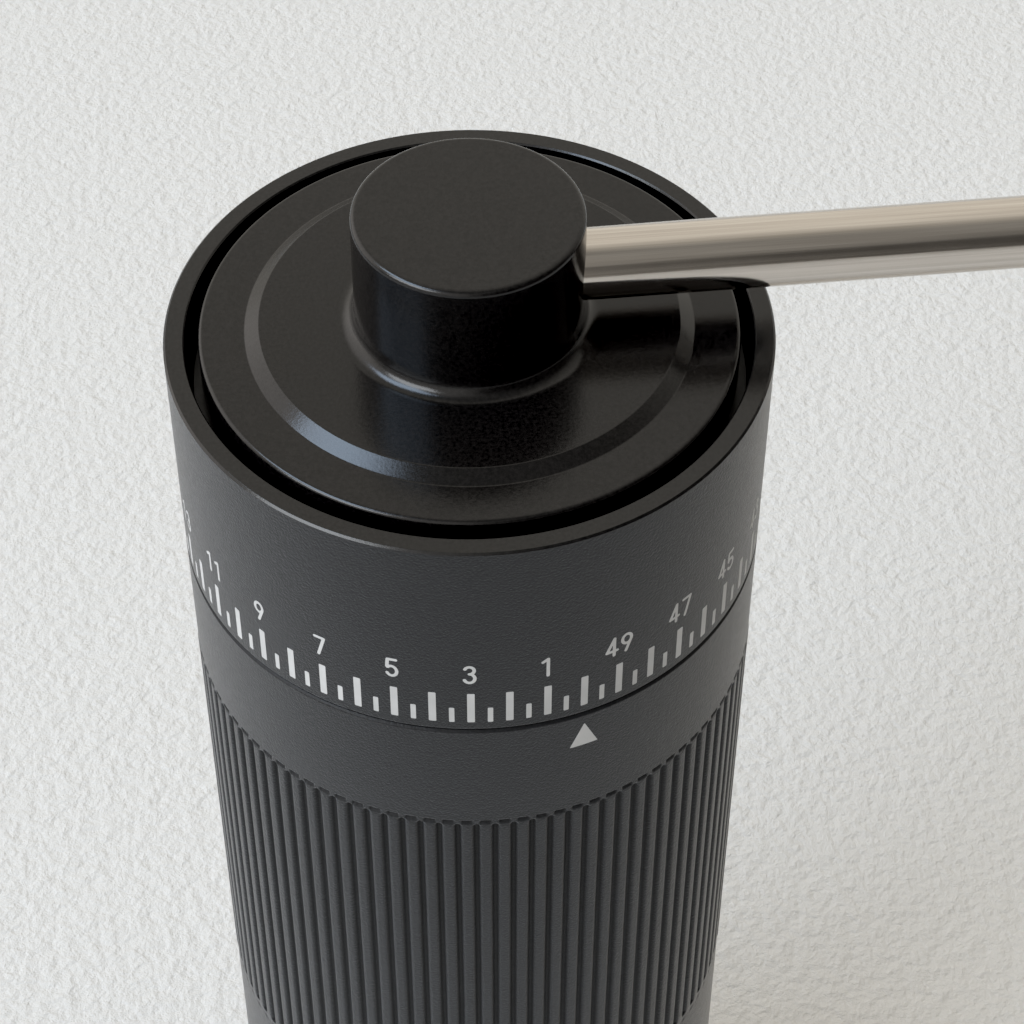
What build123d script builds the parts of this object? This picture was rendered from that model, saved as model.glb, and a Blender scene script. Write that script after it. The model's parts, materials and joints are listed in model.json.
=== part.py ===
from build123d import *
import os
from math import cos, radians, sin

os.makedirs("parts", exist_ok=True)

# Hand crank coffee grinder. Millimetres, +Z up, z = 0 on the table under the cup,
# the main axis on Z and the crank arm along +X. The dial stands at its zero stop.

# ---------------------------------------------------------------- driving dimensions
# outer form
body_r = 26.75          # dial ring and grip body
low_r = 26.72           # plain band below the grip, and the cup
rim_z = 156.0           # top rim of the dial ring
dial_z = 133.05         # underside of the dial ring
shoulder_z = 132.75     # body shoulder under the dial ring
reed_top = 119.8        # grip reeds, upper end
reed_bot = 68.4         # grip reeds, lower end
seam_z = 50.0           # bottom face of the body
reed_n = 98             # reeds round the grip, and grooves between them
reed_rim = 26.80        # crown of the reeds, a hair proud of the plain bands
groove_r = 0.50         # round groove between two reeds
groove_d = 0.44         # depth of the groove under the plain upper band
groove_phase = -91.42   # degrees

# body inside
neck_r = 23.35          # spigot that the dial ring turns on
neck_in = 20.4
neck_top = 142.5
hopper_r = 23.0
bore_r = 23.9           # lower bore for carrier, burr and retainer
seat_z = 88.0           # step that the burr carrier seats on
snap_z0, snap_z1, snap_r = 139.70, 140.90, 22.75

# dial ring
well_r = 24.91          # upper well: rim bore and thread of the carriage
step_z = 139.65
dial_bore = 23.40

# bearing carriage, at rest 2 mm above its lowest place
car_r = 24.85
car_in = 19.9
car_z0, car_z1 = 145.0, 151.0
hub_r = 10.5
pin_r, pin_pcr = 0.9, 21.6

# ball bearings 8 x 16 x 5
brg_d, brg_D, brg_w = 8.0, 16.0, 5.0
race_in, race_out, ball_r, ball_n = 5.15, 6.85, 1.0, 9
up_brg_z = 145.0
lo_brg_z = 81.0

# shaft and burrs
shaft_r = 4.0
hex_af = 6.9
burr_z0, burr_z1 = 56.0, 78.0

# crank
lid_r = 23.7
lid_z0, lid_z1 = 152.2, 156.5
plateau_z = 157.35
boss_r = 10.0
boss_z = 169.15
rod_r = 3.15            # quarter-inch bar
rod_z = 162.35
arm_x = 150.0           # crank radius

# cup
cup_top = 49.8
cup_bore = 24.36
cup_in = 23.8
magnet_r, magnet_h, magnet_pcr, magnet_n = 0.75, 3.0, 25.4, 6

# ---------------------------------------------------------------- body, fixed pieces
# grip body: plain upper band, reeded grip, plain lower band, spigot for the dial ring
with BuildPart() as body_shell:
    with BuildSketch(Plane.XZ):
        with BuildLine():
            Polyline(
                (bore_r, seam_z),
                (low_r - 0.3, seam_z),
                (low_r, seam_z + 0.3),
                (low_r, reed_bot - 0.9),
                (reed_rim, reed_bot + 0.6),
                (reed_rim, reed_top - 0.8),
                (body_r, reed_top),
                (body_r, shoulder_z - 0.22),
                (body_r - 0.22, shoulder_z),
                (neck_r, shoulder_z),
                (neck_r, snap_z0),
                (snap_r, snap_z0),
                (snap_r, snap_z1),
                (neck_r, snap_z1),
                (neck_r, neck_top - 0.4),
                (neck_r - 0.4, neck_top),
                (neck_in, neck_top),
                (neck_in, 130.6),
                (hopper_r, 127.0),
                (hopper_r, seat_z),
                (bore_r, seat_z),
                close=True,
            )
        make_face()
    revolve(axis=Axis.Z)
    # reeds: a round groove between each two
    with BuildSketch(Plane.XY.offset(reed_bot)):
        with PolarLocations(body_r - groove_d + groove_r, reed_n, start_angle=groove_phase):
            Circle(groove_r)
    extrude(amount=reed_top - 0.7 - reed_bot, mode=Mode.SUBTRACT)
    # guide pin holes in the spigot
    with BuildSketch(Plane.XY.offset(neck_top)):
        with PolarLocations(pin_pcr, 3, start_angle=60):
            Circle(pin_r + 0.005)
    extrude(amount=-8.5, mode=Mode.SUBTRACT)
    # detent bores in the shoulder
    with BuildSketch(Plane.XY.offset(shoulder_z)):
        with PolarLocations(25.3, 2, start_angle=90):
            Circle(0.83)
    extrude(amount=-7.0, mode=Mode.SUBTRACT)
    # magnet pockets in the bottom face
    with BuildSketch(Plane.XY.offset(seam_z)):
        with PolarLocations(magnet_pcr, magnet_n, start_angle=30):
            Circle(magnet_r + 0.01)
    extrude(amount=magnet_h, mode=Mode.SUBTRACT)
body_shell.part.label = "body_shell"
export_step(body_shell.part, "parts/body_shell.step")

# burr carrier: ring, three roofed arms and the housing of the lower bearing
with BuildPart() as burr_carrier:
    with BuildSketch(Plane.XZ):
        with BuildLine():
            Polyline(
                (21.6, burr_z1),
                (bore_r - 0.02, burr_z1),
                (bore_r - 0.02, seat_z),
                (22.6, seat_z),
                (21.6, seat_z - 2.0),
                close=True,
            )
        make_face()
    revolve(axis=Axis.Z)
    for turn in (30, 150, 270):
        out = (cos(radians(turn)), sin(radians(turn)), 0)
        across = (-sin(radians(turn)), cos(radians(turn)), 0)
        foot_at = (9.6 * out[0], 9.6 * out[1], 80.0)
        with BuildSketch(Plane(origin=foot_at, x_dir=across, z_dir=out)):
            with BuildLine():
                Polyline(
                    (-2.5, 0), (2.5, 0), (2.5, 5.5), (0.8, 7.5), (-0.8, 7.5), (-2.5, 5.5),
                    close=True,
                )
            make_face()
        extrude(amount=12.6)
    with BuildSketch(Plane.XZ):
        with BuildLine():
            Polyline(
                (brg_D / 2 + 0.03, 78.5),
                (hub_r, 78.5),
                (hub_r, 92.0),
                (7.0, 96.0),
                (5.5, 96.0),
                (5.5, 93.0),
                (brg_D / 2 + 0.03, 93.0),
                close=True,
            )
        make_face()
    revolve(axis=Axis.Z)
burr_carrier.part.label = "burr_carrier"
export_step(burr_carrier.part, "parts/burr_carrier.step")

# one slanted tooth gap of the outer burr, cut all round its inner cone
with BuildPart() as ring_gap:
    with BuildSketch(Plane(origin=(18.6, -1.6, 57.5), x_dir=(0, 1, 0), z_dir=(-0.16, 0.18, 1))):
        with BuildLine():
            Polyline((-1.0, -1.2), (1.5, -1.2), (-0.7, 1.9), close=True)
        make_face()
    extrude(amount=26.0)

# outer burr
with BuildPart() as ring_burr:
    with BuildSketch(Plane.XZ):
        with BuildLine():
            Polyline(
                (19.3, burr_z0),
                (21.8, burr_z0),
                (22.2, burr_z0 + 0.4),
                (22.2, 75.0),
                (bore_r - 0.05, 75.0),
                (bore_r - 0.05, burr_z1),
                (15.5, burr_z1),
                (18.7, 61.0),
                close=True,
            )
        make_face()
    revolve(axis=Axis.Z)
    with PolarLocations(0, 24):
        add(ring_gap.part, mode=Mode.SUBTRACT)
ring_burr.part.label = "ring_burr"
export_step(ring_burr.part, "parts/ring_burr.step")

# threaded retainer that clamps the outer burr and forms the spigot of the cup
with BuildPart() as burr_retainer:
    with BuildSketch(Plane.XZ):
        with BuildLine():
            Polyline(
                (22.8, 43.8),
                (24.0, 43.8),
                (24.3, 44.1),
                (24.3, seam_z),
                (bore_r - 0.02, seam_z),
                (bore_r - 0.02, 75.0),
                (22.4, 75.0),
                (22.4, 44.2),
                close=True,
            )
        make_face()
    revolve(axis=Axis.Z)
    # spanner notches
    with BuildSketch(Plane.XY.offset(43.8)):
        with PolarLocations(23.2, 4, start_angle=45):
            Rectangle(3.2, 4.0)
    extrude(amount=1.6, mode=Mode.SUBTRACT)
burr_retainer.part.label = "burr_retaining_ring"
export_step(burr_retainer.part, "parts/burr_retaining_ring.step")

# coil spring that presses the lower bearing down
with BuildPart() as preload_spring:
    with BuildLine() as coil:
        Helix(pitch=1.9, height=5.7, radius=7.35, center=(0, 0, 86.62))
    with BuildSketch(Plane(origin=coil.line @ 0, z_dir=coil.line % 0)):
        Circle(0.4)
    sweep(path=coil.line, is_frenet=True)
preload_spring.part.label = "preload_spring"
export_step(preload_spring.part, "parts/preload_spring.step")

# pins that keep the bearing carriage from turning
with BuildPart() as guide_pins:
    with BuildSketch(Plane.XY.offset(neck_top - 8.5)):
        with PolarLocations(pin_pcr, 3, start_angle=60):
            Circle(pin_r)
    extrude(amount=15.5)
guide_pins.part.label = "guide_pins"
export_step(guide_pins.part, "parts/guide_pins.step")

# open snap ring that holds the dial ring down
with BuildPart() as snap_ring:
    with BuildSketch(Plane.XY.offset(step_z + 0.1)):
        Circle(24.5)
        Circle(snap_r + 0.03, mode=Mode.SUBTRACT)
        with Locations((0, 23.6)):
            Rectangle(5.0, 4.0, mode=Mode.SUBTRACT)
    extrude(amount=1.1)
snap_ring.part.label = "dial_retaining_ring"
export_step(snap_ring.part, "parts/dial_retaining_ring.step")

# thin slide washer in the seam under the dial ring
with BuildPart() as slide_washer:
    with BuildSketch(Plane.XY.offset(shoulder_z + 0.02)):
        Circle(24.3)
        Circle(23.5, mode=Mode.SUBTRACT)
    extrude(amount=0.26)
slide_washer.part.label = "dial_slide_washer"
export_step(slide_washer.part, "parts/dial_slide_washer.step")

# detent balls, pressed in to the height of the lands between two notches
with BuildPart() as detent_balls:
    with Locations((0, 0, 132.23)):
        with PolarLocations(25.3, 2, start_angle=90):
            Sphere(0.8)
detent_balls.part.label = "detent_balls"
export_step(detent_balls.part, "parts/detent_balls.step")

with BuildPart() as detent_springs:
    for side in (1, -1):
        with BuildLine() as wire:
            Helix(pitch=0.55, height=4.95, radius=0.5, center=(0, 25.3 * side, 125.95))
        with BuildSketch(Plane(origin=wire.line @ 0, z_dir=wire.line % 0)):
            Circle(0.12)
        sweep(path=wire.line, is_frenet=True)
detent_springs.part.label = "detent_springs"
export_step(detent_springs.part, "parts/detent_springs.step")

with BuildPart() as body_magnets:
    with BuildSketch(Plane.XY.offset(seam_z)):
        with PolarLocations(magnet_pcr, magnet_n, start_angle=30):
            Circle(magnet_r)
    extrude(amount=magnet_h)
body_magnets.part.label = "body_magnets"
export_step(body_magnets.part, "parts/body_magnets.step")

# ---------------------------------------------------------------- dial ring
with BuildPart() as dial_ring:
    with BuildSketch(Plane.XZ):
        with BuildLine():
            Polyline(
                (dial_bore, dial_z),
                (body_r - 0.2, dial_z),
                (body_r, dial_z + 0.2),
                (body_r, rim_z),
                (well_r, rim_z),
                (well_r, step_z),
                (dial_bore, step_z),
                close=True,
            )
        make_face()
    revolve(axis=Axis.Z)
    rim = dial_ring.edges().filter_by(GeomType.CIRCLE).group_by(Axis.Z)[-1]
    chamfer(rim, 0.18)
    # click notches in the underside
    with Locations((0, 0, dial_z - 0.6)):
        with PolarLocations(25.3, 100, start_angle=90):
            Sphere(0.8, mode=Mode.SUBTRACT)
dial_ring.part.label = "dial_ring"
export_step(dial_ring.part, "parts/dial_ring.step")

# ---------------------------------------------------------------- bearing carriage
with BuildPart() as carriage:
    with BuildSketch(Plane.XY.offset(car_z0)):
        Circle(car_r)
        Circle(car_in, mode=Mode.SUBTRACT)
    extrude(amount=car_z1 - car_z0)
    outer_edges = carriage.edges().filter_by(GeomType.CIRCLE).filter_by(
        lambda e: e.radius > car_r - 0.01
    )
    chamfer(outer_edges, 0.4)
    with BuildSketch(Plane.XY.offset(car_z0)):
        with PolarLocations(15.2, 3, start_angle=60):
            Rectangle(10.6, 4.0)
    extrude(amount=5.0)
    with BuildSketch(Plane.XZ):
        with BuildLine():
            Polyline(
                (6.6, 143.4),
                (hub_r - 0.5, 143.4),
                (hub_r, 143.9),
                (hub_r, 151.1),
                (hub_r - 0.4, 151.5),
                (brg_D / 2, 151.5),
                (brg_D / 2, 150.9),
                (8.55, 150.9),
                (8.55, 150.0),
                (brg_D / 2, 150.0),
                (brg_D / 2, up_brg_z),
                (6.6, up_brg_z),
                close=True,
            )
        make_face()
    revolve(axis=Axis.Z)
    with BuildSketch(Plane.XY.offset(car_z0)):
        with PolarLocations(pin_pcr, 3, start_angle=60):
            Circle(pin_r + 0.03)
    extrude(amount=car_z1 - car_z0, mode=Mode.SUBTRACT)
carriage.part.label = "bearing_carriage"
export_step(carriage.part, "parts/bearing_carriage.step")

# ball bearings: two races, balls and seals each
for place, z0 in (("upper", up_brg_z), ("lower", lo_brg_z)):
    with BuildPart() as outer_race:
        with BuildSketch(Plane.XY.offset(z0)):
            Circle(brg_D / 2)
            Circle(race_out, mode=Mode.SUBTRACT)
        extrude(amount=brg_w)
        with Locations((0, 0, z0 + brg_w / 2)):
            Torus((race_in + race_out) / 2, ball_r + 0.03, mode=Mode.SUBTRACT)
    outer_race.part.label = place + "_bearing_outer_race"
    export_step(outer_race.part, "parts/" + place + "_bearing_outer_race.step")

    with BuildPart() as inner_race:
        with BuildSketch(Plane.XY.offset(z0)):
            Circle(race_in)
            Circle(brg_d / 2 + 0.01, mode=Mode.SUBTRACT)
        extrude(amount=brg_w)
        with Locations((0, 0, z0 + brg_w / 2)):
            Torus((race_in + race_out) / 2, ball_r + 0.03, mode=Mode.SUBTRACT)
    inner_race.part.label = place + "_bearing_inner_race"
    export_step(inner_race.part, "parts/" + place + "_bearing_inner_race.step")

    with BuildPart() as balls:
        with Locations((0, 0, z0 + brg_w / 2)):
            with PolarLocations((race_in + race_out) / 2, ball_n):
                Sphere(ball_r)
    balls.part.label = place + "_bearing_balls"
    export_step(balls.part, "parts/" + place + "_bearing_balls.step")

    with BuildPart() as seals:
        for dz in (0.25, 4.45):
            with BuildSketch(Plane.XY.offset(z0 + dz)):
                Circle(race_out - 0.01)
                Circle(race_in + 0.1, mode=Mode.SUBTRACT)
            extrude(amount=0.3)
    seals.part.label = place + "_bearing_seals"
    export_step(seals.part, "parts/" + place + "_bearing_seals.step")

# inner circlip over the upper bearing
with BuildPart() as circlip:
    with BuildSketch(Plane.XY.offset(150.05)):
        Circle(8.5)
        Circle(7.1, mode=Mode.SUBTRACT)
        with Locations((-8.0, 0)):
            Rectangle(4.0, 5.0, mode=Mode.SUBTRACT)
    extrude(amount=0.8)
circlip.part.label = "bearing_circlip"
export_step(circlip.part, "parts/bearing_circlip.step")

# ---------------------------------------------------------------- drive line
with BuildPart() as shaft:
    with BuildSketch(Plane.XZ):
        with BuildLine():
            Polyline(
                (0, 48.5),
                (2.1, 48.5),
                (2.5, 48.9),
                (2.5, 56.2),
                (shaft_r, 56.2),
                (shaft_r, 143.6),
                (5.1, 143.6),
                (5.1, up_brg_z),
                (shaft_r, up_brg_z),
                (shaft_r, 150.05),
                (3.5, 150.05),
                (3.5, 150.9),
                (shaft_r, 150.9),
                (shaft_r, 151.2),
                (0, 151.2),
                close=True,
            )
        make_face()
    revolve(axis=Axis.Z)
    # drive hexagon for the crank
    with BuildSketch(Plane.XY.offset(151.2)):
        RegularPolygon(hex_af / 2, 6, major_radius=False)
    extrude(amount=7.0)
    chamfer(shaft.faces().sort_by(Axis.Z)[-1].edges(), 0.5)
    # two flats that carry the inner burr
    with BuildSketch(Plane.XY.offset(56.2)):
        with Locations((5.3, 0), (-5.3, 0)):
            Rectangle(4.0, 12.0)
    extrude(amount=20.8, mode=Mode.SUBTRACT)
shaft.part.label = "drive_shaft"
export_step(shaft.part, "parts/drive_shaft.step")

# tooth gaps of the inner burr: long feed flutes above, fine gaps below
with BuildPart() as feed_flute:
    with BuildSketch(Plane(origin=(18.9, 0.0, 60.0), x_dir=(0, 1, 0), z_dir=(-0.60, 0.22, 1))):
        with BuildLine():
            Polyline((-1.6, -2.2), (3.4, -2.2), (-1.2, 2.6), close=True)
        make_face()
    extrude(amount=30.0)

with BuildPart() as fine_gap:
    with BuildSketch(Plane(origin=(18.95, 0.6, 55.5), x_dir=(0, 1, 0), z_dir=(-0.13, -0.2, 1))):
        with BuildLine():
            Polyline((-0.5, -0.7), (0.9, -0.7), (-0.35, 0.8), close=True)
        make_face()
    extrude(amount=6.6)

with BuildPart() as cone_burr:
    with BuildSketch(Plane.XZ):
        with BuildLine():
            Polyline(
                (0, burr_z0),
                (18.65, burr_z0),
                (18.95, burr_z0 + 0.3),
                (18.3, 61.0),
                (8.2, 77.0),
                (7.4, burr_z1),
                (0, burr_z1),
                close=True,
            )
        make_face()
    revolve(axis=Axis.Z)
    with PolarLocations(0, 7):
        add(feed_flute.part, mode=Mode.SUBTRACT)
    with PolarLocations(0, 42):
        add(fine_gap.part, mode=Mode.SUBTRACT)
    with BuildSketch(Plane.XY.offset(burr_z0)):
        Circle(shaft_r + 0.01)
        Rectangle(6.62, 12.0, mode=Mode.INTERSECT)
    extrude(amount=21.0, mode=Mode.SUBTRACT)
    with BuildSketch(Plane.XY.offset(77.0)):
        Circle(shaft_r + 0.01)
    extrude(amount=1.0, mode=Mode.SUBTRACT)
    with BuildSketch(Plane.XY.offset(burr_z0)):
        Circle(15.0)
        Circle(9.5, mode=Mode.SUBTRACT)
    extrude(amount=2.0, mode=Mode.SUBTRACT)
cone_burr.part.label = "cone_burr"
export_step(cone_burr.part, "parts/cone_burr.step")

with BuildPart() as spacer:
    with BuildSketch(Plane.XY.offset(burr_z1)):
        Circle(5.1)
        Circle(shaft_r + 0.01, mode=Mode.SUBTRACT)
    extrude(amount=lo_brg_z - burr_z1)
spacer.part.label = "burr_spacer"
export_step(spacer.part, "parts/burr_spacer.step")

with BuildPart() as burr_washer:
    with BuildSketch(Plane.XY.offset(54.8)):
        Circle(8.0)
        Circle(2.55, mode=Mode.SUBTRACT)
    extrude(amount=1.2)
    big_edges = burr_washer.edges().filter_by(GeomType.CIRCLE).filter_by(lambda e: e.radius > 7.9)
    chamfer(big_edges.sort_by(Axis.Z)[0], 0.3)
burr_washer.part.label = "burr_washer"
export_step(burr_washer.part, "parts/burr_washer.step")

with BuildPart() as burr_nut:
    with BuildSketch(Plane.XY.offset(50.3)):
        RegularPolygon(4.0, 6, major_radius=False)
        Circle(2.51, mode=Mode.SUBTRACT)
    extrude(amount=4.5)
burr_nut.part.label = "burr_nut"
export_step(burr_nut.part, "parts/burr_nut.step")

with BuildPart() as shaft_clip:
    with BuildSketch(Plane.XY.offset(150.1)):
        Circle(6.0)
        Circle(3.52, mode=Mode.SUBTRACT)
        with Locations((5.0, 0)):
            Rectangle(6.0, 4.6, mode=Mode.SUBTRACT)
    extrude(amount=0.7)
shaft_clip.part.label = "shaft_clip"
export_step(shaft_clip.part, "parts/shaft_clip.step")

# ---------------------------------------------------------------- crank
# lid: flat outer annulus, bevel up to a raised plateau, round boss for the arm
with BuildPart() as lid:
    with BuildSketch(Plane.XZ):
        with BuildLine():
            Polyline(
                (0, lid_z0),
                (lid_r - 0.4, lid_z0),
                (lid_r, lid_z0 + 0.4),
                (lid_r, lid_z1),
                (19.65, lid_z1),
                (18.35, plateau_z),
                (boss_r, plateau_z),
                (boss_r, boss_z),
                (0, boss_z),
                close=True,
            )
        make_face()
    revolve(axis=Axis.Z)
    round_edges = lid.edges().filter_by(GeomType.CIRCLE)
    fillet(round_edges.filter_by(lambda e: abs(e.center().Z - boss_z) < 0.01), 0.55)
    round_edges = lid.edges().filter_by(GeomType.CIRCLE)
    fillet(
        round_edges.filter_by(
            lambda e: abs(e.center().Z - plateau_z) < 0.01 and e.radius < boss_r + 0.01
        ),
        1.5,
    )
    round_edges = lid.edges().filter_by(GeomType.CIRCLE)
    fillet(
        round_edges.filter_by(
            lambda e: abs(e.center().Z - lid_z1) < 0.01 and e.radius > lid_r - 0.01
        ),
        0.45,
    )
    # bore of the arm, with a small lead-in
    with BuildSketch(Plane.YZ.offset(-5.0)):
        with Locations((0, rod_z)):
            Circle(rod_r + 0.02)
    extrude(amount=20.0, mode=Mode.SUBTRACT)
    mouth = (
        lid.edges()
        .filter_by(lambda e: e.center().X > 8.5 and abs(e.center().Z - rod_z) < 0.6)
        .sort_by(SortBy.LENGTH)[-1]
    )
    chamfer(mouth, 0.25)
    # set screw bore at the back
    with BuildSketch(Plane.XZ.offset(-2.8)):
        with Locations((0, rod_z)):
            Circle(1.51)
    extrude(amount=-9.0, mode=Mode.SUBTRACT)
    # pocket of the drive socket, and the hollow underside
    with BuildSketch(Plane.XY.offset(lid_z0)):
        Circle(7.01)
    extrude(amount=6.4, mode=Mode.SUBTRACT)
    with BuildSketch(Plane.XY.offset(lid_z0)):
        Circle(20.5)
        Circle(10.5, mode=Mode.SUBTRACT)
    extrude(amount=2.2, mode=Mode.SUBTRACT)
lid.part.label = "crank_lid"
export_step(lid.part, "parts/crank_lid.step")

with BuildPart() as socket:
    with BuildSketch(Plane.XY.offset(lid_z0)):
        Circle(7.0)
        RegularPolygon(hex_af / 2 + 0.1, 6, major_radius=False, mode=Mode.SUBTRACT)
    extrude(amount=6.4)
socket.part.label = "drive_socket"
export_step(socket.part, "parts/drive_socket.step")

# straight round arm, flattened to an eye at its end
with BuildPart() as arm:
    with BuildSketch(Plane.YZ.offset(-4.8)):
        with Locations((0, rod_z)):
            Circle(rod_r)
    extrude(amount=arm_x + 4.8)
    # flats above and below, each with a sloped run-out
    with BuildSketch(Plane.XZ):
        for up in (1, -1):
            with BuildLine():
                Polyline(
                    (arm_x - 14.0, rod_z + up * 3.2),
                    (arm_x - 9.5, rod_z + up * 2.2),
                    (arm_x + 8.0, rod_z + up * 2.2),
                    (arm_x + 8.0, rod_z + up * 4.0),
                    (arm_x - 14.0, rod_z + up * 4.0),
                    close=True,
                )
            make_face()
    extrude(amount=8.0, both=True, mode=Mode.SUBTRACT)
    # flared neck and eye
    with BuildSketch(Plane.XY.offset(rod_z - 2.2)):
        with BuildLine():
            Polyline(
                (arm_x - 11.0, -2.0),
                (arm_x - 1.6, -4.94),
                (arm_x - 1.6, 4.94),
                (arm_x - 11.0, 2.0),
                close=True,
            )
        make_face()
        with Locations((arm_x, 0)):
            Circle(5.2)
    extrude(amount=4.4)
    with BuildSketch(Plane.XY.offset(rod_z - 2.2)):
        with Locations((arm_x, 0)):
            Circle(2.02)
    extrude(amount=4.4, mode=Mode.SUBTRACT)
arm.part.label = "crank_arm"
export_step(arm.part, "parts/crank_arm.step")

with BuildPart() as grub:
    with BuildSketch(Plane.XZ.offset(-(rod_r + 0.05))):
        with Locations((0, rod_z)):
            Circle(1.5)
    extrude(amount=-5.5)
    with BuildSketch(Plane.XZ.offset(-(rod_r + 5.55))):
        with Locations((0, rod_z)):
            RegularPolygon(0.75, 6, major_radius=False)
    extrude(amount=1.8, mode=Mode.SUBTRACT)
grub.part.label = "arm_grub_screw"
export_step(grub.part, "parts/arm_grub_screw.step")

# shoulder screw that the knob turns on, with its washer and lock nut
eye_top = rod_z + 2.2
eye_bot = rod_z - 2.2
with BuildPart() as axle:
    with BuildSketch(Plane.XY.offset(eye_bot - 3.4)):
        with Locations((arm_x, 0)):
            Circle(2.0)
    extrude(amount=eye_top - eye_bot + 3.4)
    with BuildSketch(Plane.XY.offset(eye_top)):
        with Locations((arm_x, 0)):
            Circle(3.0)
    extrude(amount=25.5)
    with BuildSketch(Plane.XY.offset(eye_top + 25.5)):
        with Locations((arm_x, 0)):
            Circle(4.6)
    extrude(amount=3.0)
    with BuildSketch(Plane.XY.offset(eye_top + 28.5)):
        with Locations((arm_x, 0)):
            RegularPolygon(1.5, 6, major_radius=False)
    extrude(amount=-2.0, mode=Mode.SUBTRACT)
axle.part.label = "knob_axle"
export_step(axle.part, "parts/knob_axle.step")

with BuildPart() as knob_washer:
    with BuildSketch(Plane.XY.offset(eye_top)):
        with Locations((arm_x, 0)):
            Circle(5.0)
            Circle(3.05, mode=Mode.SUBTRACT)
    extrude(amount=0.5)
knob_washer.part.label = "knob_washer"
export_step(knob_washer.part, "parts/knob_washer.step")

with BuildPart() as lock_nut:
    with BuildSketch(Plane.XY.offset(eye_bot - 2.6)):
        with Locations((arm_x, 0)):
            RegularPolygon(3.5, 6, major_radius=False)
            Circle(2.02, mode=Mode.SUBTRACT)
    extrude(amount=2.6)
lock_nut.part.label = "knob_lock_nut"
export_step(lock_nut.part, "parts/knob_lock_nut.step")

# ---------------------------------------------------------------- knob
knob_z = eye_top + 0.8
knob_axis = Axis((arm_x, 0, 0), (0, 0, 1))
with BuildPart() as knob:
    with BuildSketch(Plane.XZ):
        with BuildLine():
            foot = Polyline(
                (arm_x + 4.21, knob_z), (arm_x + 7.6, knob_z), (arm_x + 8.2, knob_z + 0.6)
            )
            side = Spline(
                foot @ 1,
                (arm_x + 8.5, knob_z + 6.0),
                (arm_x + 11.6, knob_z + 16.5),
                (arm_x + 12.7, knob_z + 24.0),
                (arm_x + 10.8, knob_z + 31.0),
                (arm_x + 7.2, knob_z + 33.6),
            )
            Polyline(
                side @ 1,
                (arm_x + 6.4, knob_z + 33.8),
                (arm_x + 6.02, knob_z + 33.4),
                (arm_x + 6.02, knob_z + 30.6),
                (arm_x + 5.3, knob_z + 30.6),
                (arm_x + 5.3, knob_z + 24.4),
                (arm_x + 4.21, knob_z + 24.4),
                foot @ 0,
            )
        make_face()
    revolve(axis=knob_axis)
knob.part.label = "knob_body"
export_step(knob.part, "parts/knob_body.step")

with BuildPart() as knob_bush:
    with BuildSketch(Plane.XY.offset(knob_z - 0.1)):
        with Locations((arm_x, 0)):
            Circle(4.2)
            Circle(3.04, mode=Mode.SUBTRACT)
    extrude(amount=24.5)
knob_bush.part.label = "knob_bush"
export_step(knob_bush.part, "parts/knob_bush.step")

with BuildPart() as knob_cap:
    with BuildSketch(Plane.XZ):
        with BuildLine():
            Polyline(
                (arm_x, knob_z + 30.6),
                (arm_x + 6.0, knob_z + 30.6),
                (arm_x + 6.0, knob_z + 33.3),
                (arm_x + 5.5, knob_z + 33.7),
                (arm_x, knob_z + 34.1),
                close=True,
            )
        make_face()
    revolve(axis=knob_axis)
knob_cap.part.label = "knob_cap"
export_step(knob_cap.part, "parts/knob_cap.step")

# ---------------------------------------------------------------- catch cup
with BuildPart() as cup:
    with BuildSketch(Plane.XZ):
        with BuildLine():
            Polyline(
                (0, 2.0),
                (24.1, 2.0),
                (24.1, 0.8),
                (low_r - 0.8, 0.8),
                (low_r, 1.6),
                (low_r, cup_top - 0.3),
                (low_r - 0.3, cup_top),
                (cup_bore + 0.2, cup_top),
                (cup_bore, cup_top - 0.2),
                (cup_bore, 43.5),
                (cup_in, 43.5),
                (cup_in, 5.0),
                (0, 5.0),
                close=True,
            )
        make_face()
    revolve(axis=Axis.Z)
    inside_corner = lambda e: abs(e.center().Z - 5.0) < 0.01 and e.radius > cup_in - 0.01
    fillet(cup.edges().filter_by(GeomType.CIRCLE).filter_by(inside_corner), 4.0)
    with BuildSketch(Plane.XY.offset(cup_top)):
        with PolarLocations(magnet_pcr, magnet_n, start_angle=30):
            Circle(magnet_r + 0.01)
    extrude(amount=-magnet_h, mode=Mode.SUBTRACT)
cup.part.label = "catch_cup"
export_step(cup.part, "parts/catch_cup.step")

with BuildPart() as pad:
    with BuildSketch(Plane.XY):
        Circle(24.0)
    extrude(amount=2.0)
    chamfer(pad.edges().filter_by(GeomType.CIRCLE).sort_by(Axis.Z)[0], 0.4)
pad.part.label = "base_pad"
export_step(pad.part, "parts/base_pad.step")

with BuildPart() as cup_magnets:
    with BuildSketch(Plane.XY.offset(cup_top - magnet_h)):
        with PolarLocations(magnet_pcr, magnet_n, start_angle=30):
            Circle(magnet_r)
    extrude(amount=magnet_h)
cup_magnets.part.label = "cup_magnets"
export_step(cup_magnets.part, "parts/cup_magnets.step")
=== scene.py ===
import json
import math

import bmesh
import bpy
import numpy as np
from mathutils import Matrix, Vector
from mathutils.geometry import tessellate_polygon


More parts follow.
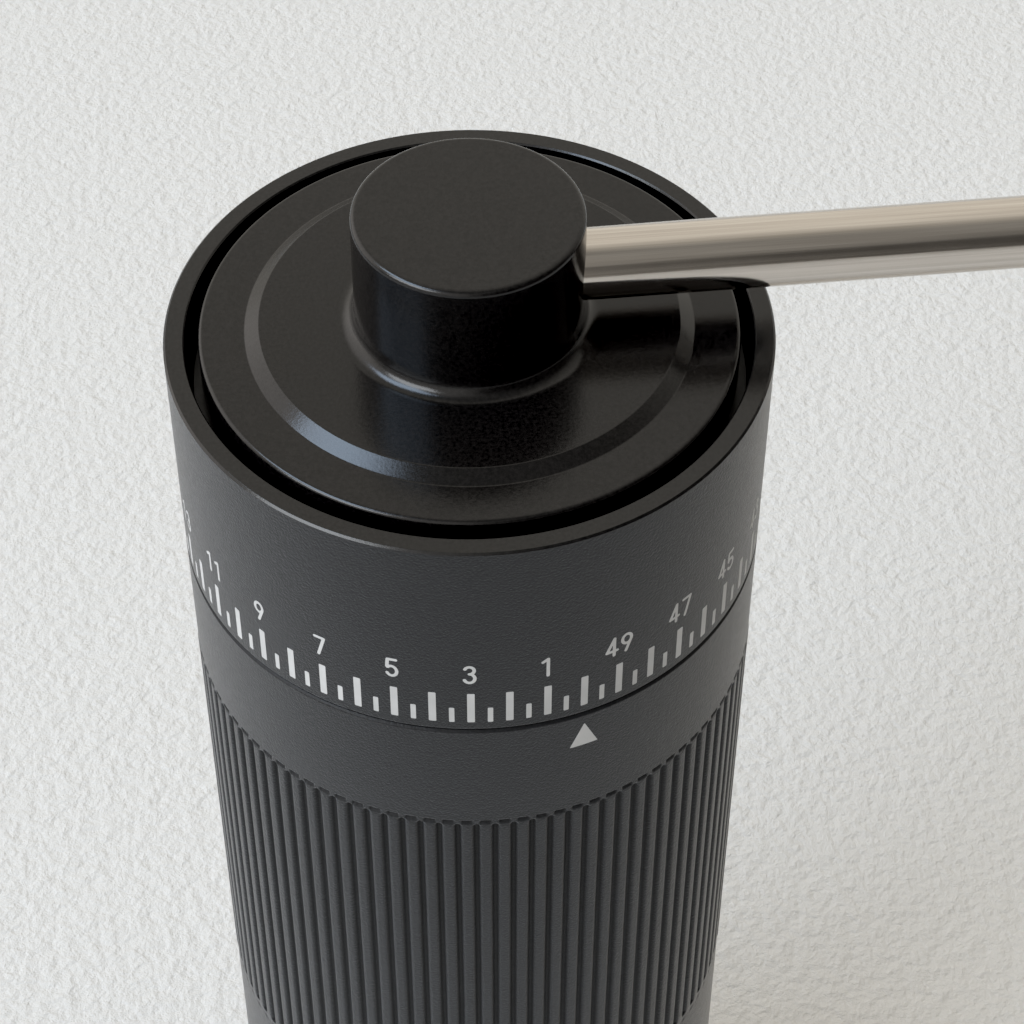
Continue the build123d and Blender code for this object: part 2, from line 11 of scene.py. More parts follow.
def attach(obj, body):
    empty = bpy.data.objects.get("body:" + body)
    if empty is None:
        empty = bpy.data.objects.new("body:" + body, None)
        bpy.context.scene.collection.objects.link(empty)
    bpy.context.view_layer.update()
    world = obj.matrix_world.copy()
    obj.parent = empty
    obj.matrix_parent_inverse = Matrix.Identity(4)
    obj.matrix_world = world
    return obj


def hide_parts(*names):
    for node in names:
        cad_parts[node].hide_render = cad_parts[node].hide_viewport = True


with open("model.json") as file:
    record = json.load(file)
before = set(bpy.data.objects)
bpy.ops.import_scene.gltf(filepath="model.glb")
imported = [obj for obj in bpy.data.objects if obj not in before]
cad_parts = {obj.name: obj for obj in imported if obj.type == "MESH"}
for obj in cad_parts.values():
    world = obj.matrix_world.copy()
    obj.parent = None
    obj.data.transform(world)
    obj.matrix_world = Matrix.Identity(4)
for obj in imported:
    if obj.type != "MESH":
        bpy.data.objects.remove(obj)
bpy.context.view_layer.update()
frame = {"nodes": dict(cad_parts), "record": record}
nodes = frame["nodes"]
scene = bpy.context.scene

MM = 0.001
SKIN = 26.735          # outer skin of dial ring and grip body, a hair under the solid's radius
MARK = 26.747          # outside of the white marks
SCALE0 = -74.22        # direction of mark 0 and of the pointer, degrees


# ---------------------------------------------------------------- materials
def new_mat(name):
    m = bpy.data.materials.new(name)
    m.use_nodes = True
    nt = m.node_tree
    return m, nt, nt.nodes["Principled BSDF"]


def coords(nt, scale=(1.0, 1.0, 1.0)):
    tc = nt.nodes.new("ShaderNodeTexCoord")
    mp = nt.nodes.new("ShaderNodeMapping")
    mp.inputs["Scale"].default_value = scale
    nt.links.new(tc.outputs["Object"], mp.inputs["Vector"])
    return mp.outputs["Vector"]


def noise(nt, vec, scale, detail=3.0, rough=0.55):
    n = nt.nodes.new("ShaderNodeTexNoise")
    n.inputs["Scale"].default_value = scale
    n.inputs["Detail"].default_value = detail
    n.inputs["Roughness"].default_value = rough
    nt.links.new(vec, n.inputs["Vector"])
    return n.outputs["Fac"]


def spread(nt, fac, lo, hi, a=0.3, b=0.7):
    r = nt.nodes.new("ShaderNodeMapRange")
    r.inputs["From Min"].default_value = a
    r.inputs["From Max"].default_value = b
    r.inputs["To Min"].default_value = lo
    r.inputs["To Max"].default_value = hi
    nt.links.new(fac, r.inputs["Value"])
    return r.outputs["Result"]


def tint(nt, fac, c0, c1, a=0.3, b=0.7):
    r = nt.nodes.new("ShaderNodeValToRGB")
    r.color_ramp.elements[0].position = a
    r.color_ramp.elements[1].position = b
    r.color_ramp.elements[0].color = (*c0, 1)
    r.color_ramp.elements[1].color = (*c1, 1)
    nt.links.new(fac, r.inputs["Fac"])
    return r.outputs["Color"]


def bump(nt, bsdf, height, dist, before=None):
    b = nt.nodes.new("ShaderNodeBump")
    b.inputs["Strength"].default_value = 1.0
    b.inputs["Distance"].default_value = dist
    nt.links.new(height, b.inputs["Height"])
    if before is not None:
        nt.links.new(before, b.inputs["Normal"])
    nt.links.new(b.outputs["Normal"], bsdf.inputs["Normal"])
    return b.outputs["Normal"]


def blasted_black(name, c0, c1, r0, r1, grain=5200.0, depth=6e-6, ior=1.5, sheen=0.0):
    """Black anodised aluminium over a fine bead-blasted surface."""
    m, nt, p = new_mat(name)
    v = coords(nt)
    fine = noise(nt, v, grain, 2.0, 0.6)
    broad = noise(nt, v, grain * 0.3, 3.0, 0.65)
    nt.links.new(tint(nt, fine, c0, c1, 0.32, 0.68), p.inputs["Base Color"])
    nt.links.new(spread(nt, broad, r0, r1), p.inputs["Roughness"])
    p.inputs["IOR"].default_value = ior
    p.inputs["Sheen Weight"].default_value = sheen
    p.inputs["Sheen Roughness"].default_value = 0.45
    bump(nt, p, fine, depth)
    return m


def satin_black(name, c0, c1, r0, r1, ior=1.5):
    """Smooth satin black with faint handling haze and a few grains of dust."""
    m, nt, p = new_mat(name)
    v = coords(nt)
    haze = noise(nt, v, 130.0, 5.0, 0.62)
    fine = noise(nt, v, 3000.0, 4.0, 0.7)
    vor = nt.nodes.new("ShaderNodeTexVoronoi")
    vor.inputs["Scale"].default_value = 330.0
    nt.links.new(v, vor.inputs["Vector"])
    cell = nt.nodes.new("ShaderNodeTexWhiteNoise")
    nt.links.new(vor.outputs["Position"], cell.inputs["Vector"])
    near = spread(nt, vor.outputs["Distance"], 1.0, 0.0, 0.016, 0.03)
    rare = spread(nt, cell.outputs["Value"], 0.0, 1.0, 0.955, 0.96)
    dust = nt.nodes.new("ShaderNodeMath")
    dust.operation = "MULTIPLY"
    nt.links.new(near, dust.inputs[0])
    nt.links.new(rare, dust.inputs[1])
    mix = nt.nodes.new("ShaderNodeMix")
    mix.data_type = "RGBA"
    nt.links.new(dust.outputs["Value"], mix.inputs["Factor"])
    nt.links.new(tint(nt, fine, c0, c1, 0.34, 0.66), mix.inputs["A"])
    mix.inputs["B"].default_value = (0.32, 0.31, 0.29, 1)
    nt.links.new(mix.outputs["Result"], p.inputs["Base Color"])
    nt.links.new(spread(nt, haze, r0, r1), p.inputs["Roughness"])
    p.inputs["IOR"].default_value = ior
    bump(nt, p, fine, 9.0e-6)
    return m


def metal(name, c0, c1, r0, r1, stretch=(1, 1, 1), scale=900.0, depth=1.5e-6, aniso=0.0):
    """Bare metal. The stretch runs the fine tool or drawing lines along one direction."""
    m, nt, p = new_mat(name)
    v = coords(nt, stretch)
    lines = noise(nt, v, scale, 4.0, 0.65)
    broad = noise(nt, coords(nt), 90.0, 4.0, 0.6)
    nt.links.new(tint(nt, lines, c0, c1, 0.3, 0.7), p.inputs["Base Color"])
    add = nt.nodes.new("ShaderNodeMath")
    add.operation = "ADD"
    nt.links.new(spread(nt, lines, r0, r1), add.inputs[0])
    nt.links.new(spread(nt, broad, -0.03, 0.05), add.inputs[1])
    nt.links.new(add.outputs["Value"], p.inputs["Roughness"])
    p.inputs["Metallic"].default_value = 1.0
    p.inputs["Anisotropic"].default_value = aniso
    bump(nt, p, lines, depth)
    return m


def moulded(name, c0, c1, r0, r1, grain, depth, spec=0.5):
    """Moulded rubber or plastic with a fine eroded texture."""
    m, nt, p = new_mat(name)
    v = coords(nt)
    nt.links.new(tint(nt, noise(nt, v, 160.0, 4.0, 0.6), c0, c1), p.inputs["Base Color"])
    g = noise(nt, v, grain, 3.0, 0.6)
    nt.links.new(spread(nt, g, r0, r1), p.inputs["Roughness"])
    p.inputs["Specular IOR Level"].default_value = spec
    bump(nt, p, g, depth)
    return m


M = {
    "black_anodised": blasted_black("black_anodised", (0.0052, 0.0053, 0.0056), (0.0150, 0.0152, 0.0160), 0.36, 0.46, 4600.0, 6.0e-5, 1.25, 0.27),
    # painted shade: darker copies of black_anodised with less sheen, for the walls and floors of the grooves
    "painted_shade_groove_wall": blasted_black("painted_shade_groove_wall", (0.0036, 0.0037, 0.0039), (0.0100, 0.0102, 0.0106), 0.36, 0.46, 4600.0, 5.0e-5, 1.25, 0.165),
    "painted_shade_groove_floor": blasted_black("painted_shade_groove_floor", (0.0022, 0.0022, 0.0024), (0.0060, 0.0061, 0.0064), 0.38, 0.48, 4600.0, 4.0e-5, 1.25, 0.075),
    "black_anodised_inner": blasted_black("black_anodised_inner", (0.011, 0.011, 0.0115), (0.017, 0.017, 0.0175), 0.34, 0.44, 2600.0, 3e-6),
    "lid_black": satin_black("lid_black", (0.0002, 0.0002, 0.0002), (0.0070, 0.0062, 0.0059), 0.135, 0.185, 1.43),
    # painted shade: a near-black dull copy for the ring's inner wall, down in the gap under the lid
    "well_painted_shade": blasted_black("well_painted_shade", (0.0012, 0.0012, 0.0012), (0.0030, 0.0030, 0.0030), 0.44, 0.56, 2600.0, 6e-6, 1.18),
    "rim_black": satin_black("rim_black", (0.0006, 0.0006, 0.0006), (0.0080, 0.0074, 0.0070), 0.16, 0.21, 1.46),
    "polished_steel": metal("polished_steel", (0.48, 0.440, 0.395), (0.67, 0.625, 0.57), 0.09, 0.16, (0.010, 1, 1), 2600.0, 7.0e-6),
    "shaft_steel": metal("shaft_steel", (0.50, 0.49, 0.475), (0.62, 0.61, 0.59), 0.24, 0.34, (0.15, 0.15, 1), 2400.0, 1.5e-6),
    "burr_steel": metal("burr_steel", (0.42, 0.42, 0.42), (0.56, 0.56, 0.555), 0.28, 0.42, (1, 1, 0.25), 1500.0, 3e-6),
    "bearing_steel": metal("bearing_steel", (0.55, 0.55, 0.55), (0.66, 0.66, 0.66), 0.10, 0.18, (0.2, 0.2, 1), 2800.0, 0.8e-6),
    "spring_steel": metal("spring_steel", (0.34, 0.34, 0.345), (0.46, 0.46, 0.46), 0.26, 0.38, (1, 1, 1), 1800.0, 1.5e-6),
    "black_steel": metal("black_steel", (0.030, 0.029, 0.028), (0.060, 0.058, 0.056), 0.34, 0.46, (1, 1, 1), 1600.0, 2e-6),
    "raw_aluminium": metal("raw_aluminium", (0.62, 0.62, 0.63), (0.74, 0.74, 0.75), 0.30, 0.42, (0.2, 0.2, 1), 2200.0, 2.5e-6),
    "nickel": metal("nickel", (0.58, 0.555, 0.52), (0.68, 0.655, 0.62), 0.16, 0.26, (1, 1, 1), 1500.0, 1e-6),
    "bronze": metal("bronze", (0.42, 0.25, 0.11), (0.58, 0.37, 0.18), 0.30, 0.44, (1, 1, 1), 2600.0, 4e-6),
    "slide_plastic": moulded("slide_plastic", (0.62, 0.61, 0.57), (0.70, 0.69, 0.65), 0.38, 0.50, 2600.0, 3e-6),
    "seal_rubber": moulded("seal_rubber", (0.016, 0.016, 0.016), (0.026, 0.026, 0.026), 0.52, 0.66, 2600.0, 5e-6),
    "pad_rubber": moulded("pad_rubber", (0.018, 0.018, 0.018), (0.030, 0.030, 0.030), 0.60, 0.76, 1800.0, 14e-6, 0.35),
    "knob_black": moulded("knob_black", (0.012, 0.012, 0.012), (0.018, 0.018, 0.018), 0.36, 0.48, 2400.0, 9e-6),
    "knob_cap_black": moulded("knob_cap_black", (0.010, 0.010, 0.010), (0.015, 0.015, 0.015), 0.24, 0.32, 3200.0, 3e-6),
    "mark_white": moulded("mark_white", (0.44, 0.436, 0.427), (0.54, 0.535, 0.525), 0.58, 0.74, 3600.0, 5e-6, 0.35),
}


# ---------------------------------------------------------------- mesh helpers
def piece(name, verts, faces, body, slot, mat=None, sharp=32.0, stand_for=()):
    me = bpy.data.meshes.new(name)
    me.from_pydata([(x * MM, y * MM, z * MM) for x, y, z in verts], [], faces)
    me.update()
    me.materials.append(M[mat or slot])
    me.shade_smooth()
    me.set_sharp_from_angle(angle=math.radians(sharp))
    ob = bpy.data.objects.new(name, me)
    scene.collection.objects.link(ob)
    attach(ob, body)
    if stand_for:
        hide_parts(*stand_for)
    return ob


def outline(points, steps=7, land=0.05):
    """Corner points (r, z, fillet) to an outline with rounded corners and a short land on either side of each."""
    out = []
    n = len(points)
    for i, (r, z, f) in enumerate(points):
        p = np.array([r, z], float)
        if f <= 0:
            out.append(tuple(p))
            continue
        a = np.array(points[(i - 1) % n][:2], float) - p
        b = np.array(points[(i + 1) % n][:2], float) - p
        la, lb = np.linalg.norm(a), np.linalg.norm(b)
        a, b = a / la, b / lb
        half = math.acos(max(-1, min(1, float(a @ b)))) / 2
        t = f / math.tan(half)
        mid = (a + b) / np.linalg.norm(a + b)
        c = p + mid * (f / math.sin(half))
        s, e = p + a * t, p + b * t
        if la - t > 3 * land:
            out.append(tuple(s + a * land))
        a0 = math.atan2(*(s - c)[::-1])
        a1 = math.atan2(*(e - c)[::-1])
        d = (a1 - a0 + math.pi) % (2 * math.pi) - math.pi
        for k in range(steps + 1):
            w = a0 + d * k / steps
            out.append((c[0] + f * math.cos(w), c[1] + f * math.sin(w)))
        if lb - t > 3 * land:
            out.append(tuple(e + b * land))
    return out


def lathe(profile, seg, closed=True, cx=0.0):
    """Turns an outline of (r, z) about the vertical line x = cx. A point on the axis is one vertex."""
    ang = np.linspace(0, 2 * math.pi, seg, endpoint=False)
    verts, rings = [], []
    for r, z in profile:
        if r < 1e-6:
            rings.append([len(verts)] * seg)
            verts.append((cx, 0.0, z))
        else:
            rings.append(list(range(len(verts), len(verts) + seg)))
            verts += [(cx + r * math.cos(a), r * math.sin(a), z) for a in ang]
    faces = []
    pairs = list(zip(rings, rings[1:]))
    if closed:
        pairs.append((rings[-1], rings[0]))
    for lo, hi in pairs:
        for k in range(seg):
            j = (k + 1) % seg
            f = [lo[k], lo[j], hi[j], hi[k]]
            f = [x for i, x in enumerate(f) if x not in f[:i]]
            if len(f) > 2:
                faces.append(f)
    return verts, faces


def smooth(a, b, x):
    t = np.clip((x - a) / (b - a), 0, 1)
    return t * t * (3 - 2 * t)


# ---------------------------------------------------------------- grip body
REEDS, PER = 98, 16
NC, NI = REEDS * PER, 2 * REEDS
GROOVE = -91.42                     # degrees, middle of a groove
Z_TOP, Z_BOT = 119.70, 68.15        # ends of the reeds
CROWN, LOW = 26.785, 26.70          # crown of the reeds, plain band under them
pitch = 2 * math.pi * SKIN / REEDS
half = [0.0, 0.08, 0.16, 0.24, 0.32, 0.40, 0.50, 0.66, pitch / 2]       # columns, close together in the groove
s = np.array((half + [pitch - x for x in half[-2:0:-1]]) * REEDS)
phi = (s + np.arange(NC) // PER * pitch) / SKIN + math.radians(GROOVE)
s = np.minimum(s, pitch - s)        # distance from the nearest groove's middle, mm
x_reed = pitch / 2 - s              # distance from the nearest crown
DEEP = 0.38                         # groove floor under the crown
over = 1 - smooth(0.42, 0.60, x_reed)


def body_radius(z):
    """Outside radius at height z for every column: bands, reeds, and the round-ended grooves between them."""
    if z > Z_TOP or z < Z_BOT - 0.9:
        return np.full(NC, SKIN if z > Z_TOP else LOW)
    run = Z_TOP - z
    rise = float(smooth(Z_BOT - 0.8, Z_BOT + 0.9, z))
    up = float(smooth(0.35, 1.1, run))
    base = LOW + (SKIN + (CROWN - SKIN) * up - LOW) * rise
    # each reed starts in a small scoop under the band, each groove starts lower in a round end
    scoop = 0.19 * float(smooth(0.0, 0.10, run)) * (1 - float(smooth(0.20, 0.66, run)))
    d = over * scoop + up * x_reed ** 2 / 14.0
    end = max(0.0, 1.00 - run, Z_BOT + 0.45 - z)
    return base - d - (DEEP - d) * (1 - smooth(0.06, 0.50, np.hypot(s, end)))


rows_z = [50.32, 50.42, 59.0, 66.9, 67.2]
rows_z += [67.3, 67.6, 67.85] + list(np.linspace(68.02, 68.68, 10)) + [68.85, 69.1, 69.4]
rows_z += [70.2, 72.0, 94.0, 116.4]
rows_z += [117.6, 118.2, 118.5] + list(np.linspace(118.62, 119.52, 13)) + [119.57, 119.61, 119.64, 119.67, 119.70, 119.76]
rows_z += [120.3, 126.0, 132.35, 132.45, 132.53]

verts, outer = [], []


def ring_of(r, z, ang):
    start = len(verts)
    r = np.broadcast_to(r, ang.shape)
    verts.extend(zip((r * np.cos(ang)).tolist(), (r * np.sin(ang)).tolist(), [z] * len(ang)))
    return list(range(start, len(verts)))


outer.append(ring_of(LOW - 0.30, 50.02, phi))
for z in rows_z:
    outer.append(ring_of(body_radius(z), z, phi))
outer.append(ring_of(SKIN - 0.03, 132.565, phi))
outer.append(ring_of(SKIN - 0.19, 132.725, phi))
outer.append(ring_of(SKIN - 0.23, 132.75, phi))
faces = []
for lo, hi in zip(outer, outer[1:]):
    for k in range(NC):
        j = (k + 1) % NC
        faces.append((lo[k], lo[j], hi[j], hi[k]))

phi_in = np.arange(NI) * 2 * math.pi / NI + math.radians(GROOVE)
inner_profile = outline([
    (23.35, 132.75, 0), (23.35, 139.70, 0), (22.75, 139.70, 0), (22.75, 140.90, 0), (23.35, 140.90, 0),
    (23.35, 142.50, 0.4), (20.40, 142.50, 0.3), (20.40, 130.60, 1.5), (23.0, 127.0, 1.5), (23.0, 88.0, 0),
    (23.9, 88.0, 0), (23.9, 50.02, 0)], 4)
inner = [ring_of(r, z, phi_in) for r, z in inner_profile]
for lo, hi in zip(inner, inner[1:]):
    for k in range(NI):
        j = (k + 1) % NI
        faces.append((lo[k], lo[j], hi[j], hi[k]))
STEP = NC // NI
for k in range(NI):                  # the flat shoulder and the flat bottom face
    j = (k + 1) % NI
    arc = [(k * STEP + q) % NC for q in range(STEP + 1)]
    faces.append([outer[-1][q] for q in arc] + [inner[0][j], inner[0][k]])
    faces.append([inner[-1][k], inner[-1][j]] + [outer[0][q] for q in reversed(arc)])
grip = piece("grip_body", verts, faces, "body", "black_anodised", sharp=60.0, stand_for=["body_shell"])
grip.data.materials.append(M["painted_shade_groove_wall"])
grip.data.materials.append(M["painted_shade_groove_floor"])
for poly in grip.data.polygons:                  # painted shade: faces deep in the grooves take the darker copies, the floor darker than the walls
    r = math.hypot(poly.center.x, poly.center.y) / MM
    if 26.2 < r < 26.67 and Z_BOT - 0.5 < poly.center.z / MM < Z_TOP - 0.55:
        poly.material_index = 1 if r > 26.53 else 2


# ---------------------------------------------------------------- dial ring, threaded inside
prof = outline([
    (23.40, 133.05, 0), (SKIN, 133.05, 0.2), (SKIN, 155.81, 0.04), (26.545, 156.0, 0.04), (25.06, 156.0, 0.04),
    (24.91, 155.85, 0.04), (24.91, 152.6, 0)], 5, 0.02)
thread_z = np.linspace(152.3, 141.2, 105)
SEG = 360
ang = np.arange(SEG) * 2 * math.pi / SEG
verts, rings = [], []
for r, z in prof:
    rings.append(ring_of(r, z, ang))
for z in thread_z:
    w = (z - ang / (2 * math.pi)) % 1.0
    fade = float(smooth(141.2, 141.8, z) * (1 - smooth(151.7, 152.3, z)))
    rings.append(ring_of(24.91 + 0.36 * fade * smooth(0.10, 0.42, 0.5 - np.abs(w - 0.5)), z, ang))
for r, z in [(24.91, 140.9), (24.91, 139.65), (23.40, 139.65)]:
    rings.append(ring_of(r, z, ang))
faces = []
for lo, hi in zip(rings, rings[1:] + rings[:1]):
    for k in range(SEG):
        j = (k + 1) % SEG
        faces.append((lo[k], lo[j], hi[j], hi[k]))
ring = piece("scale_ring", verts, faces, "dial", "black_anodised", sharp=50.0, stand_for=["dial_ring"])
ring.data.materials.append(M["rim_black"])
ring.data.materials.append(M["well_painted_shade"])
for poly in ring.data.polygons:                 # the rim is turned smooth after blasting; the well below gets painted shade, a near-black dull copy
    if poly.center.z > 0.15580:
        poly.material_index = 1
    elif math.hypot(poly.center.x, poly.center.y) < 0.0254:
        poly.material_index = 2


# ---------------------------------------------------------------- white marks, wrapped on the skin
def strokes_field(strokes, gx, gy):
    d = np.full(gx.shape, 9.0)
    for line in strokes:
        for (x0, y0), (x1, y1) in zip(line, line[1:]):
            dx, dy = x1 - x0, y1 - y0
            t = np.clip(((gx - x0) * dx + (gy - y0) * dy) / max(dx * dx + dy * dy, 1e-12), 0, 1)
            d = np.minimum(d, np.hypot(gx - x0 - t * dx, gy - y0 - t * dy))
    return d


def arc(cx, cy, rx, ry, a0, a1, n=18):
    return [(cx + rx * math.cos(math.radians(a0 + (a1 - a0) * k / n)),
             cy + ry * math.sin(math.radians(a0 + (a1 - a0) * k / n))) for k in range(n + 1)]


H = 0.061                            # half stroke, as a share of the numeral's height
GLYPH = {
    "1": [[(-0.155, 0.80), (0.03, 1 - H), (0.03, H)]],
    "2": [arc(0, 0.727, 0.175, 0.193, 168, -38) + [(-0.185, H), (0.19, H)]],
    "3": [arc(0, 0.732, 0.165, 0.188, 158, -90), arc(0, 0.312, 0.185, 0.232, 90, -158)],
    "4": [[(0.085, 1 - H), (-0.20, 0.29), (0.205, 0.29)], [(0.085, 1 - H), (0.085, H)]],
    "5": [[(0.155, 1 - H), (-0.135, 1 - H), (-0.165, 0.545)], arc(-0.005, 0.335, 0.185, 0.255, 137, -150)],
    "7": [[(-0.18, 1 - H), (0.18, 1 - H), (-0.06, H)]],
    "9": [arc(0, 0.685, 0.18, 0.235, 0, 360, 30), [(0.165, 0.60), (-0.025, H)]],
}


def loops_of(strokes, step=0.026):
    """Outlines of a set of round-ended strokes, outer loops and holes alike, by marching squares."""
    xs = np.arange(-0.36, 0.3601, step)
    ys = np.arange(-0.08, 1.0801, step)
    gx, gy = np.meshgrid(xs, ys, indexing="ij")
    f = strokes_field(strokes, gx, gy) - H
    nxt, pos = {}, {}

    def cut(i, j, k, l):
        key = (min((i, j), (k, l)), max((i, j), (k, l)))
        a, b = f[key[0]], f[key[1]]
        t = a / (a - b)
        p0 = np.array([xs[key[0][0]], ys[key[0][1]]])
        p1 = np.array([xs[key[1][0]], ys[key[1][1]]])
        pos[key] = tuple(p0 + (p1 - p0) * t)
        return key

    for i in range(len(xs) - 1):
        for j in range(len(ys) - 1):
            c = [(i, j), (i + 1, j), (i + 1, j + 1), (i, j + 1)]
            ins = [f[q] < 0 for q in c]
            if all(ins) or not any(ins):
                continue
            for q in range(4):
                r = (q + 1) % 4
                if ins[q] and not ins[r]:            # walks out of the shape here
                    a = cut(*c[q], *c[r])
                    w = r
                    while not (not ins[w] and ins[(w + 1) % 4]):
                        w = (w + 1) % 4
                    nxt[a] = cut(*c[w], *c[(w + 1) % 4])
    loops, left = [], set(nxt)
    while left:
        start = next(iter(sorted(left)))
        loop, k = [], start
        while k in left:
            left.discard(k)
            loop.append(pos[k])
            k = nxt[k]
        loops.append(loop)
    return loops


def flat_shape(loops):
    """Loops in the plane (first one or more outer, holes inside them) to triangles."""
    pts = [p for lp in loops for p in lp]
    tris = tessellate_polygon([[Vector((x, y, 0)) for x, y in lp] for lp in loops])
    return pts, [tuple(t) for t in tris]


def wrap(shapes, r_out, r_in, cut_every=0.0):
    """Flat shapes [(loops, centre direction in degrees, scale, dx, z0)] as thin solid marks on a cylinder."""
    verts, faces = [], []
    for loops, direction, scale, dx, z0 in shapes:
        bm = bmesh.new()
        pts, tris = flat_shape(loops)
        vs = [bm.verts.new((x * scale + dx, y * scale + z0, 0)) for x, y in pts]
        for t in tris:
            try:
                bm.faces.new([vs[q] for q in t])
            except ValueError:
                pass
        if cut_every > 0:
            x0, x1 = min(v.co.x for v in bm.verts), max(v.co.x for v in bm.verts)
            x = x0 + cut_every
            while x < x1 - 1e-6:
                bmesh.ops.bisect_plane(bm, geom=bm.verts[:] + bm.edges[:] + bm.faces[:],
                                       plane_co=(x, 0, 0), plane_no=(1, 0, 0))
                x += cut_every
        bmesh.ops.recalc_face_normals(bm, faces=bm.faces[:])
        if bm.faces and sum(fc.normal.z for fc in bm.faces) < 0:
            bmesh.ops.reverse_faces(bm, faces=bm.faces[:])
        bm.verts.index_update()
        flat = [(v.co.x, v.co.y) for v in bm.verts]
        top = [[v.index for v in fc.verts] for fc in bm.faces]
        rim = [(e.link_loops[0].vert.index, e.link_loops[0].link_loop_next.vert.index)
               for e in bm.edges if len(e.link_faces) == 1]
        bm.free()
        base, n = len(verts), len(flat)
        for r in (r_out, r_in):
            for x, z in flat:
                a = math.radians(direction) + x / r_out
                verts.append((r * math.cos(a), r * math.sin(a), z))
        faces += [[base + q for q in t] for t in top]
        faces += [[base + n + q for q in reversed(t)] for t in top]
        faces += [(base + b, base + a, base + n + a, base + n + b) for a, b in rim]
    return verts, faces


def bar(w, h, r=0.10):
    """A mark of width w and height h with slightly rounded corners, standing on y = 0."""
    pts = []
    for cx, cy, a0 in [(w / 2 - r, r, -90), (w / 2 - r, h - r, 0), (-w / 2 + r, h - r, 90), (-w / 2 + r, r, 180)]:
        pts += arc(cx, cy, r, r, a0, a0 + 90, 4)
    return [pts]


digit_loops = {c: loops_of(g) for c, g in GLYPH.items()}
shapes = []
for k in range(50):
    a = SCALE0 - 7.2 * k
    shapes.append((bar(0.66, 3.90), a, 1.0, 0.0, 134.10))
    shapes.append((bar(0.475, 1.95), a - 3.6, 1.0, 0.0, 134.10))
    if k % 2:
        text = str(k)
        for q, c in enumerate(text):
            shapes.append((digit_loops[c], a - 0.2, 2.50, (q - (len(text) - 1) / 2) * 1.46, 139.32))
verts, faces = wrap(shapes, MARK, 26.70)
piece("scale_marks", verts, faces, "dial", "black_anodised", "mark_white", 40.0)

tri = [[(-1.32, 0.05), (-1.27, 0.0), (1.27, 0.0), (1.32, 0.05), (0.06, 2.92), (0.0, 2.97), (-0.06, 2.92)]]
verts, faces = wrap([(tri, SCALE0 + 0.2, 1.0, 0.0, 128.44)], MARK, 26.70, 0.22)
piece("pointer_mark", verts, faces, "body", "black_anodised", "mark_white", 40.0)


# ---------------------------------------------------------------- crank lid
prof = outline([
    (0, 169.15, 0), (10.0, 169.15, 0.55), (10.0, 157.35, 1.5), (18.35, 157.35, 0.2), (19.65, 156.5, 0.25),
    (23.7, 156.5, 0.45), (23.7, 152.2, 0.4), (20.5, 152.2, 0.2), (20.5, 154.4, 0.4), (10.5, 154.4, 0.4),
    (10.5, 152.2, 0.2), (7.02, 152.2, 0.2), (7.02, 158.6, 0), (0, 158.6, 0)], 10)
fine = []
for (r0, z0), (r1, z1) in zip(prof, prof[1:]):
    n = 8 if abs(r0 - 10) < 1e-6 and abs(r1 - 10) < 1e-6 else 1
    fine += [(r0 + (r1 - r0) * k / n, z0 + (z1 - z0) * k / n) for k in range(n)]
fine.append(prof[-1])
verts, faces = lathe(fine, 288, closed=False)
lid = piece("lid_and_boss", verts, [f[::-1] for f in faces], "crank", "lid_black", sharp=34.0, stand_for=["crank_lid"])

ROD_Z = 162.35


def turned(name, profile, axis, at):
    """A closed turned cutter, along +X or +Y, from (distance, radius) pairs."""
    seg = 96
    vs, fs = lathe([(r, d) for d, r in profile], seg, closed=False)
    if axis == "x":
        vs = [(z + at[0], x + at[1], y + at[2]) for x, y, z in vs]
    else:
        vs = [(y + at[0], z + at[1], x + at[2]) for x, y, z in vs]
    me = bpy.data.meshes.new(name)
    me.from_pydata([(x * MM, y * MM, z * MM) for x, y, z in vs], [], fs)
    bm = bmesh.new()
    bm.from_mesh(me)
    bmesh.ops.recalc_face_normals(bm, faces=bm.faces[:])
    bm.to_mesh(me)
    bm.free()
    ob = bpy.data.objects.new(name, me)
    scene.collection.objects.link(ob)
    return ob


def cut_away(target, cutter, sharp=34.0):
    mod = target.modifiers.new("cut", "BOOLEAN")
    mod.operation = "DIFFERENCE"
    mod.solver = "EXACT"
    mod.object = cutter
    bpy.context.view_layer.update()
    dg = bpy.context.evaluated_depsgraph_get()
    done = bpy.data.meshes.new_from_object(target.evaluated_get(dg))
    target.modifiers.clear()
    old = target.data
    target.data = done
    done.name = old.name + "_mesh"
    bpy.data.meshes.remove(old)
    bpy.data.objects.remove(cutter)
    done.shade_smooth()
    done.set_sharp_from_angle(angle=math.radians(sharp))


cut_away(lid, turned("arm_bore", [(-5.0, 0), (-5.0, 3.17), (9.42, 3.17), (9.75, 3.43), (10.3, 3.90), (10.3, 0)],
                     "x", (0, 0, ROD_Z)))
cut_away(lid, turned("screw_bore", [(3.05, 0), (3.05, 1.52), (9.75, 1.52), (10.4, 2.0), (10.4, 0)], "y", (0, 0, ROD_Z)))


